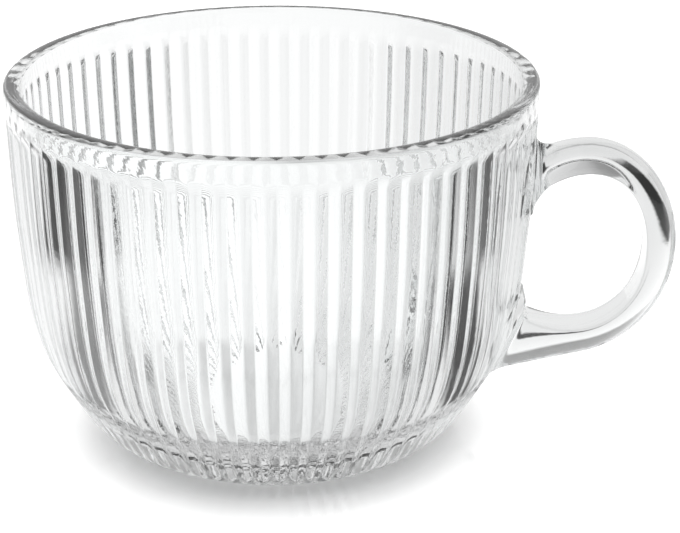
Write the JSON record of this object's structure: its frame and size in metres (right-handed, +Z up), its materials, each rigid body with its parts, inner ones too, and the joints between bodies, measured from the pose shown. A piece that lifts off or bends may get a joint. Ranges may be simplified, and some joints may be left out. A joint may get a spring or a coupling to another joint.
{
  "type": "fluted glass mug",
  "caption": "Wide clear pressed-glass mug with upright flutes round a rounded bowl, a plain rim band, a flat foot and one C-shaped side handle, for hot or cold drinks.",
  "frame": {"origin": "centre of the flat foot, on the surface that the mug stands on", "axes": "+Z up the axis of the bowl, +X from the axis towards the handle, +Y across the handle"},
  "size_m": [0.1424, 0.112, 0.08],
  "materials": {
    "bowl_glass": "clear, pressed, fire-polished",
    "handle_glass": "clear, smooth, fire-polished"
  },
  "bodies": {
    "root": {"fluted_bowl": "bowl_glass", "handle": "handle_glass"}
  },
  "joints": []
}
